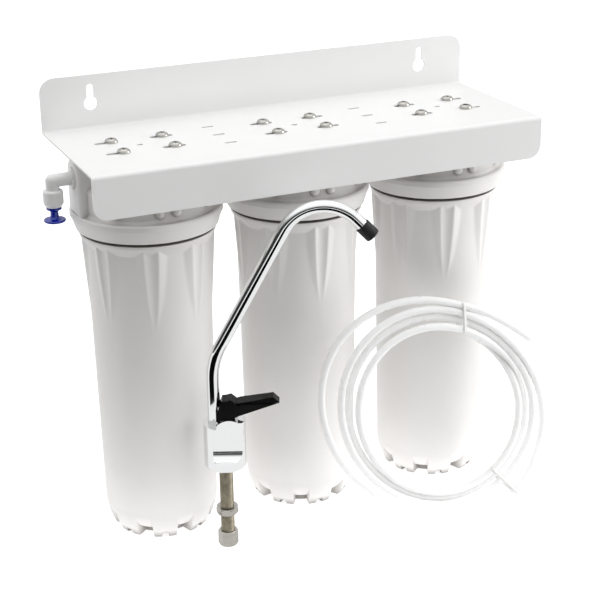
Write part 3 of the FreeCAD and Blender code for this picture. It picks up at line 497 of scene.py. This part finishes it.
def black_plastic():
    dark = (0.004, 0.0037, 0.0037)
    paint = Paint("black_plastic", dark, 0.2, Specular_IOR_Level=0.1)
    paint.color(paint.ramp(paint.noise(6), (0.3, tinted(dark, 0.8)), (0.7, dark)))
    paint.roughness(paint.ranged(paint.noise(1.2), 0.16, 0.24))
    return paint.bump(paint.noise(0.4), 0.008)


def rubber():
    dark = (0.008, 0.008, 0.009)
    paint = Paint("black_rubber", dark, 0.4, Specular_IOR_Level=0.35)
    paint.color(paint.ramp(paint.noise(3), (0.3, tinted(dark, 0.8)), (0.7, dark)))
    paint.roughness(paint.ranged(paint.noise(1), 0.42, 0.6))
    return paint.bump(paint.noise(0.5), 0.01)


def milky_tube():
    """Translucent polyethylene: light soaks in a little way and the surface is soft-glossy."""
    paint = Paint("milky_tube", (0.96, 0.96, 0.955), 0.3, Subsurface_Weight=0.8, Subsurface_Scale=0.006)
    paint.shader.inputs["Subsurface Radius"].default_value = (1.0, 1.0, 1.0)
    white = (0.965, 0.965, 0.96)
    paint.color(paint.ramp(paint.noise(40), (0.3, tinted(white, 0.99)), (0.7, white)))
    paint.roughness(paint.ranged(paint.noise(12), 0.26, 0.36))
    return paint.bump(paint.noise(5), 0.004)


def clear_tape():
    white = (0.9, 0.9, 0.885)
    paint = Paint("clear_tape", white, 0.22)
    paint.roughness(paint.ranged(paint.noise(1.5), 0.18, 0.32))
    paint.color(paint.ramp(paint.noise(4), (0.3, tinted(white, 0.96)), (0.7, white)))
    return paint.bump(paint.noise(2.0), 0.01)


def spun_fibre():
    paint = Paint("spun_fibre", (0.85, 0.85, 0.82), 0.85)
    pale = (0.87, 0.87, 0.84)
    strands = paint.noise(1.2, 4, (1, 1, 6))
    paint.color(paint.ramp(strands, (0.3, tinted(pale, 0.85)), (0.7, pale)))
    return paint.bump(strands, 0.25)


def pressed_carbon():
    paint = Paint("pressed_carbon", (0.04, 0.04, 0.04), 0.8)
    dark = (0.05, 0.05, 0.05)
    grain = paint.noise(0.8, 4)
    paint.color(paint.ramp(grain, (0.3, tinted(dark, 0.4)), (0.7, dark)))
    return paint.bump(grain, 0.15)


def core_plastic():
    pale = (0.78, 0.78, 0.76)
    paint = Paint("core_plastic", pale, 0.5)
    paint.color(paint.ramp(paint.noise(10), (0.3, tinted(pale, 0.95)), (0.7, pale)))
    return paint.bump(paint.noise(0.8), 0.01)


MATERIALS = {
    "white_steel": powder_coat(),
    "housing_white": housing_plastic(),
    "fitting_white": fitting_plastic(),
    "blue_plastic": blue_plastic(),
    "chrome": metal("chrome", (0.90, 0.905, 0.91), 0.03, 0.06, 1.0, 0.0003, 0.99),
    "zinc": metal("zinc", (0.50, 0.49, 0.46), 0.1, 0.2, 0.5, 0.01),
    "nickel": metal("nickel", (0.50, 0.48, 0.44), 0.14, 0.24, 0.8, 0.004),
    "shank_steel": metal("shank_steel", (0.40, 0.36, 0.275), 0.3, 0.48, 0.6, 0.012, 0.6),
    "stem_brass": metal("stem_brass", (0.75, 0.55, 0.25), 0.2, 0.32, 0.6, 0.004),
    "spring_steel": metal("spring_steel", (0.6, 0.6, 0.61), 0.2, 0.3, 0.4, 0.003),
    "black_plastic": black_plastic(),
    "black_rubber": rubber(),
    "pe_tube": milky_tube(),
    "tie_clear": clear_tape(),
    "sediment_media": spun_fibre(),
    "carbon_media": pressed_carbon(),
    "core_plastic": core_plastic(),
}


def dress(piece, slot):
    piece.data.materials.clear()
    piece.data.materials.append(MATERIALS[slot].material)


def dress_cad_nodes():
    for part in frame["record"]["subparts"]:
        node = frame["nodes"][part["node"]]
        dress(node, part["material_slot"])


dress_cad_nodes()
dress(coil, "pe_tube")


# ---- mesh helpers ----

def node_centre(node):
    low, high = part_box(node)
    return Vector(((low[0] + high[0]) / 2, (low[1] + high[1]) / 2, (low[2] + high[2]) / 2))


def grid_piece(name, rows, closed_ends=True):
    """Smooth mesh from rings of points, each ring closed on itself, all with the same count."""
    count = len(rows[0])
    vertices = [point for row in rows for point in row]
    faces = []
    for r in range(len(rows) - 1):
        for k in range(count):
            n = (k + 1) % count
            faces.append((r * count + k, r * count + n, (r + 1) * count + n, (r + 1) * count + k))
    if closed_ends:
        faces.append(tuple(reversed(range(count))))
        faces.append(tuple((len(rows) - 1) * count + k for k in range(count)))
    mesh = bpy.data.meshes.new(name)
    mesh.from_pydata([tuple(v) for v in vertices], [], faces)
    mesh.update()
    work = bmesh.new()
    work.from_mesh(mesh)
    bmesh.ops.remove_doubles(work, verts=work.verts, dist=1e-7)
    bmesh.ops.recalc_face_normals(work, faces=work.faces)
    work.to_mesh(mesh)
    work.free()
    mesh.polygons.foreach_set("use_smooth", [True] * len(mesh.polygons))
    piece = bpy.data.objects.new(name, mesh)
    bpy.context.scene.collection.objects.link(piece)
    return piece


def sharpen(piece, degrees):
    """Smooth shading that keeps edges steeper than this crisp."""
    bpy.context.view_layer.objects.active = piece
    for other in bpy.context.selected_objects:
        other.select_set(False)
    piece.select_set(True)
    bpy.ops.object.shade_smooth_by_angle(angle=math.radians(degrees))
    piece.select_set(False)


def stand_in(piece, node, body, slot):
    """The piece is shown for this CAD node, rides on its body and takes its finish."""
    dress(piece, slot)
    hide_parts(node)
    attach(piece, body)


# ---- sumps ----
RIM_TOP = 260.0
RIM_R = 54.0
RIM_EDGE_Z = 257.6
CONE_BOTTOM = 250.0
BODY_R_TOP = 49.6
BODY_R_LOW = 46.8
PARTING_Z = 26.0
SPEAR_TIP = 184.0
SPEAR_HALF_DEG = 15.7
SPEAR_CREST_SHARE = 0.4
SPEAR_CREST_R = 53.2
GROOVE_DEPTH = 2.1
SPEAR_COUNT = 8
SPEAR_PHASE = {1: 16.0, 2: 0.0, 3: 15.0}
NOTCH_HALF_DEG = 3.75
FOOT_END_DEG = 13.75
COLUMNS = 576
NECK_ROOT_R = 46.7
NECK_THREAD_R = 47.9
NECK_PITCH = 4.5
NECK_TOP = 284.0
NECK_BORE_R = 44.3
ORING_LOW = 278.0
ORING_HIGH = 281.0
ORING_SEAT_R = 45.2


def body_radius(z):
    return BODY_R_LOW + (z - PARTING_Z) / (RIM_TOP - PARTING_Z) * (BODY_R_TOP - BODY_R_LOW)


def spear_radius(degrees, z):
    """Grip rib: two crests with a groove between and flat flanks, narrowing to a pointed tip."""
    fall = (RIM_EDGE_Z - z) / (RIM_EDGE_Z - SPEAR_TIP)
    if fall >= 1:
        return 0.0
    half = SPEAR_HALF_DEG * (1 - fall * fall) ** 0.8
    crest = SPEAR_CREST_SHARE * half
    base = body_radius(z) - 0.5
    crest_r = base + (SPEAR_CREST_R - body_radius(RIM_EDGE_Z) + 0.5) * (1 - fall) ** 0.85
    away = abs(degrees)
    if away < crest:
        depth = GROOVE_DEPTH * (1 - fall) ** 0.5
        return crest_r - depth * (1 - (away / crest) ** 2)
    if away < half:
        return crest_r + (base - crest_r) * (away - crest) / (half - crest)
    return 0.0


def ring_at(centre, radii, heights, phase):
    points = []
    for k in range(COLUMNS):
        a = math.radians(360.0 * k / COLUMNS + phase)
        points.append((centre.x - radii[k] * MM * math.sin(a), centre.y - radii[k] * MM * math.cos(a),
                       heights[k] * MM))
    return points


def off_spear(k):
    """Degrees from the middle of the nearest spear to column k."""
    period = 360.0 / SPEAR_COUNT
    return (360.0 * k / COLUMNS + period / 2) % period - period / 2


def blurred(values, times):
    for _ in range(times):
        after = values[1:] + values[:1]
        values = [(values[k - 1] + 2 * values[k] + after[k]) / 4 for k in range(len(values))]
    return values


def wall_radii(z):
    cone = BODY_R_TOP - 0.3 + (z - CONE_BOTTOM) / (RIM_EDGE_Z - CONE_BOTTOM) * (RIM_R - BODY_R_TOP + 0.3)
    radii = []
    for k in range(COLUMNS):
        r = soft_max(body_radius(z), spear_radius(off_spear(k), z), 0.25)
        radii.append(soft_max(r, cone, 0.25) if z > CONE_BOTTOM - 2 else r)
    return blurred(radii, 2)


def arc_points(start, middle, end, count):
    """Points on the circle through three points, start excluded."""
    (ax, ay), (bx, by), (cx, cy) = start, middle, end
    d = 2 * (ax * (by - cy) + bx * (cy - ay) + cx * (ay - by))
    a2, b2, c2 = ax * ax + ay * ay, bx * bx + by * by, cx * cx + cy * cy
    ux = (a2 * (by - cy) + b2 * (cy - ay) + c2 * (ay - by)) / d
    uy = (a2 * (cx - bx) + b2 * (ax - cx) + c2 * (bx - ax)) / d
    radius = math.hypot(ax - ux, ay - uy)
    first = math.atan2(ay - uy, ax - ux)
    sweep = (math.atan2(cy - uy, cx - ux) - first + math.pi) % (2 * math.pi) - math.pi
    angles = [first + sweep * k / count for k in range(1, count + 1)]
    return [(ux + radius * math.cos(a), uy + radius * math.sin(a)) for a in angles]


WALL_FOOT = (BODY_R_LOW - 0.15, PARTING_Z - 0.6)
FOOT_OUTLINE = arc_points(WALL_FOOT, (45.4, 14.0), (41.4, 3.2), 8)
FOOT_OUTLINE += arc_points((41.4, 3.2), (40.2, 0.8), (38.5, 0.0), 3)
FOOT_OUTLINE += [(30.0, 0.0)]
WEB_OUTLINE = arc_points(WALL_FOOT, (45.4, 14.0), (42.0, 4.8), 8)
WEB_OUTLINE += [(41.0, 4.3), (38.5, 4.2), (35.0, 4.2), (30.0, 4.2)]
BOWL_OUTLINE = arc_points(WALL_FOOT, (41.2, 11.0), (30.0, 5.6), 12)


def foot_rows():
    """Rows below the parting line: feet, the webs inside each pair and the bowl between pairs."""
    rows = []
    for foot, web, bowl in zip(FOOT_OUTLINE, WEB_OUTLINE, BOWL_OUTLINE):
        radii, heights = [], []
        for k in range(COLUMNS):
            away = abs(off_spear(k))
            to_foot = smooth_step(NOTCH_HALF_DEG - 0.5, NOTCH_HALF_DEG + 0.5, away)
            to_bowl = smooth_step(FOOT_END_DEG - 0.5, FOOT_END_DEG + 0.7, away)
            r = web[0] + (foot[0] - web[0]) * to_foot
            z = web[1] + (foot[1] - web[1]) * to_foot
            radii.append(r + (bowl[0] - r) * to_bowl)
            heights.append(z + (bowl[1] - z) * to_bowl)
        rows.append((radii, heights))
    return rows


def thread_rise(z, degrees):
    """Height above the root of a right-hand thread with flat crests."""
    phase = (z / NECK_PITCH - degrees / 360.0) % 1.0
    rise = smooth_step(0.0, 0.22, phase) - smooth_step(0.5, 0.72, phase)
    return (NECK_THREAD_R - NECK_ROOT_R) * rise


def even(radius, height):
    return [radius] * COLUMNS, [height] * COLUMNS


def sump_rows():
    """From the underside's middle up the outside, over the neck and down the inside."""
    rows = [even(0.5, 5.0), even(26.5, 5.0), even(26.5, 0.0), even(29.5, 0.0)]
    rows += list(reversed(foot_rows()))
    rows.append(([WALL_FOOT[0]] * COLUMNS, [PARTING_Z] * COLUMNS))
    heights = [PARTING_Z + 0.25, 60.0, 110.0, 150.0, 176.0]
    heights += [SPEAR_TIP - 4 + 2.0 * k for k in range(34)]
    heights += [CONE_BOTTOM - 1.5 + 0.5 * k for k in range(18)]
    rows += [(wall_radii(z), [z] * COLUMNS) for z in heights if z < RIM_EDGE_Z - 0.2]
    rows += [even(RIM_R - 0.15, RIM_EDGE_Z - 0.1), even(RIM_R, RIM_EDGE_Z + 0.25), even(RIM_R, RIM_TOP - 0.5),
             even(RIM_R - 0.15, RIM_TOP - 0.15), even(RIM_R - 0.5, RIM_TOP), even(NECK_ROOT_R, RIM_TOP)]
    for step in range(33):
        z = RIM_TOP + 1.0 + 0.45 * step
        grow = smooth_step(0, 3, step) * smooth_step(32, 29, step)
        radii = [NECK_ROOT_R + grow * thread_rise(z, 360.0 * k / COLUMNS) for k in range(COLUMNS)]
        rows.append((radii, [z] * COLUMNS))
    rows += [even(NECK_THREAD_R, ORING_LOW - 1.0), even(NECK_THREAD_R, ORING_LOW),
             even(ORING_SEAT_R, ORING_LOW), even(ORING_SEAT_R, ORING_HIGH), even(NECK_THREAD_R, ORING_HIGH),
             even(NECK_THREAD_R, NECK_TOP - 0.8), even(47.2, NECK_TOP), even(NECK_BORE_R + 0.4, NECK_TOP),
             even(NECK_BORE_R, NECK_TOP - 0.4), even(NECK_BORE_R, RIM_TOP - 6), even(45.1, RIM_TOP - 14),
             even(43.6, PARTING_Z + 2), even(36.0, 12.5), even(24.0, 9.0), even(0.5, 9.0)]
    return rows


def make_sump(number):
    node = "sump_%d" % number
    centre = node_centre(node)
    rows = [ring_at(centre, radii, heights, SPEAR_PHASE[number]) for radii, heights in SUMP_ROWS]
    piece = grid_piece("sump_shell_%d" % number, rows)
    sharpen(piece, 40)
    stand_in(piece, node, node, "housing_white")


SUMP_ROWS = sump_rows()
for sump_number in SPEAR_PHASE:
    make_sump(sump_number)


# ---- ties round the coil ----
TIE_WIDTH = 3.0
TIE_THICKNESS = 0.35
TIE_TURN_SHARES = (0.005, 0.665)


def tie_band(share):
    """Rows of a thin band drawn tight round every strand that passes this share of a turn."""
    centres = []
    for turn in TURNS:
        u, h = oval_point(turn, TIE_ANGLE + 2 * math.pi * share)
        lying = smooth_step(42, 6, h) if turn is TURNS[0] else 0.0
        if turn is not TURNS[-1] or share < 0.5:
            centres.append(coil_point(u, h, turn[4] + FLOOR_REACH * lying))
    outermost, innermost = centres[0], centres[3]
    across = (outermost - innermost).normalized()
    out = coil_axes()[2]
    out = (out - across * out.dot(across)).normalized()
    along = across.cross(out)
    middle = (outermost + innermost) / 2
    flat = [((c - middle).dot(across), (c - middle).dot(out)) for c in centres]
    rows = []
    for grow, side in ((0.0001, 1), (TIE_THICKNESS * MM, 1), (TIE_THICKNESS * MM, -1), (0.0001, -1)):
        row = []
        for k in range(48):
            a = 2 * math.pi * k / 48
            x, y = max(flat, key=lambda c: c[0] * math.cos(a) + c[1] * math.sin(a))
            r = TUBE_D / 2 + grow
            row.append(middle + across * (x + r * math.cos(a)) + out * (y + r * math.sin(a))
                       + along * (side * TIE_WIDTH / 2 * MM))
        rows.append(row)
    return rows + [rows[0]]


def make_ties():
    bands = [grid_piece("tie_band", tie_band(share), closed_ends=False) for share in TIE_TURN_SHARES]
    mesh = bmesh.new()
    for band in bands:
        mesh.from_mesh(band.data)
        bpy.data.objects.remove(band)
    piece_data = bpy.data.meshes.new("tie_bands")
    mesh.to_mesh(piece_data)
    mesh.free()
    piece = bpy.data.objects.new("tie_bands", piece_data)
    bpy.context.scene.collection.objects.link(piece)
    stand_in(piece, "coil_ties", "tubing", "tie_clear")


make_ties()


# ---- faucet ----
SHANK_R = 5.55
SHANK_ROOT_R = 5.0
SHANK_PITCH = 1.058
SHANK_COLUMNS = 40
SPOUT_R = 5.1
SPOUT_S = -7.8
SPOUT_FOOT = 92.0
SPOUT_LEAN = math.radians(28.4)
SPOUT_LOW_R = 60.0
SPOUT_ARC_R = 34.0
SPOUT_PEAK = (80.5, 289.4)
SPOUT_DIVE = math.radians(46)
SPOUT_DIVE_LENGTH = 15.0


def faucet_point(s, t, z):
    """From the faucet's own frame in mm, s along the spout's reach and t away from the viewer."""
    flat = Matrix.Rotation(FAUCET_TURN, 3, "Z") @ Vector((s, t, 0))
    return Vector((FAUCET.x + flat.x * MM, FAUCET.y + flat.y * MM, z * MM))


def make_shank():
    low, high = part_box("faucet_shank")
    bottom, top = low[2] / MM, high[2] / MM
    rows = []
    steps = int((top - bottom) / (SHANK_PITCH / 8))
    for step in range(steps + 1):
        z = bottom + (top - bottom) * step / steps
        row = []
        for k in range(SHANK_COLUMNS):
            degrees = 360.0 * k / SHANK_COLUMNS
            phase = (z / SHANK_PITCH - degrees / 360.0) % 1.0
            r = SHANK_ROOT_R + (SHANK_R - SHANK_ROOT_R) * (1 - abs(2 * phase - 1)) ** 0.8
            a = math.radians(degrees)
            row.append(faucet_point(r * math.cos(a), r * math.sin(a), z))
        rows.append(row)
    piece = grid_piece("threaded_shank", rows)
    stand_in(piece, "faucet_shank", "faucet", "shank_steel")


def spout_line():
    """Centreline in s, z: straight up, a gentle bend, the lean, the top arc and the dive."""
    lean, dive = SPOUT_LEAN, SPOUT_DIVE
    centre_s, centre_z = SPOUT_PEAK[0], SPOUT_PEAK[1] - SPOUT_ARC_R
    rise_s = centre_s - SPOUT_ARC_R * math.cos(lean)
    rise_z = centre_z + SPOUT_ARC_R * math.sin(lean)
    knee_z = rise_z - (rise_s - SPOUT_S) / math.tan(lean)
    low_z = knee_z - SPOUT_LOW_R * math.tan(lean / 2)
    line = [(SPOUT_S, SPOUT_FOOT), (SPOUT_S, SPOUT_FOOT + 25), (SPOUT_S, low_z - 4)]
    bends = 14
    for k in range(bends + 1):
        a = lean * k / bends
        line.append((SPOUT_S + SPOUT_LOW_R * (1 - math.cos(a)), low_z + SPOUT_LOW_R * math.sin(a)))
    last = line[-1]
    line.append((last[0] + 4 * math.sin(lean), last[1] + 4 * math.cos(lean)))
    line.append((rise_s - 4 * math.sin(lean), rise_z - 4 * math.cos(lean)))
    arcs = 44
    for k in range(arcs + 1):
        a = lean - math.pi / 2 + (dive - lean + math.pi / 2) * k / arcs
        line.append((centre_s + SPOUT_ARC_R * math.sin(a), centre_z + SPOUT_ARC_R * math.cos(a)))
    last = line[-1]
    for along in (4, SPOUT_DIVE_LENGTH):
        line.append((last[0] + along * math.cos(dive), last[1] - along * math.sin(dive)))
    return line


def make_spout():
    curve = bpy.data.curves.new("spout_pipe", "CURVE")
    curve.dimensions = "3D"
    line = spout_line()
    spline = curve.splines.new("POLY")
    spline.points.add(len(line) - 1)
    for target, (s, z) in zip(spline.points, line):
        target.co = (*faucet_point(s, 0, z), 1)
    curve.bevel_depth = SPOUT_R * MM
    curve.bevel_resolution = 14
    curve.use_fill_caps = True
    for part in curve.splines:
        part.use_smooth = True
    piece = bpy.data.objects.new("spout_pipe", curve)
    bpy.context.scene.collection.objects.link(piece)
    stand_in(piece, "spout_tube", "spout", "chrome")


make_shank()
make_spout()
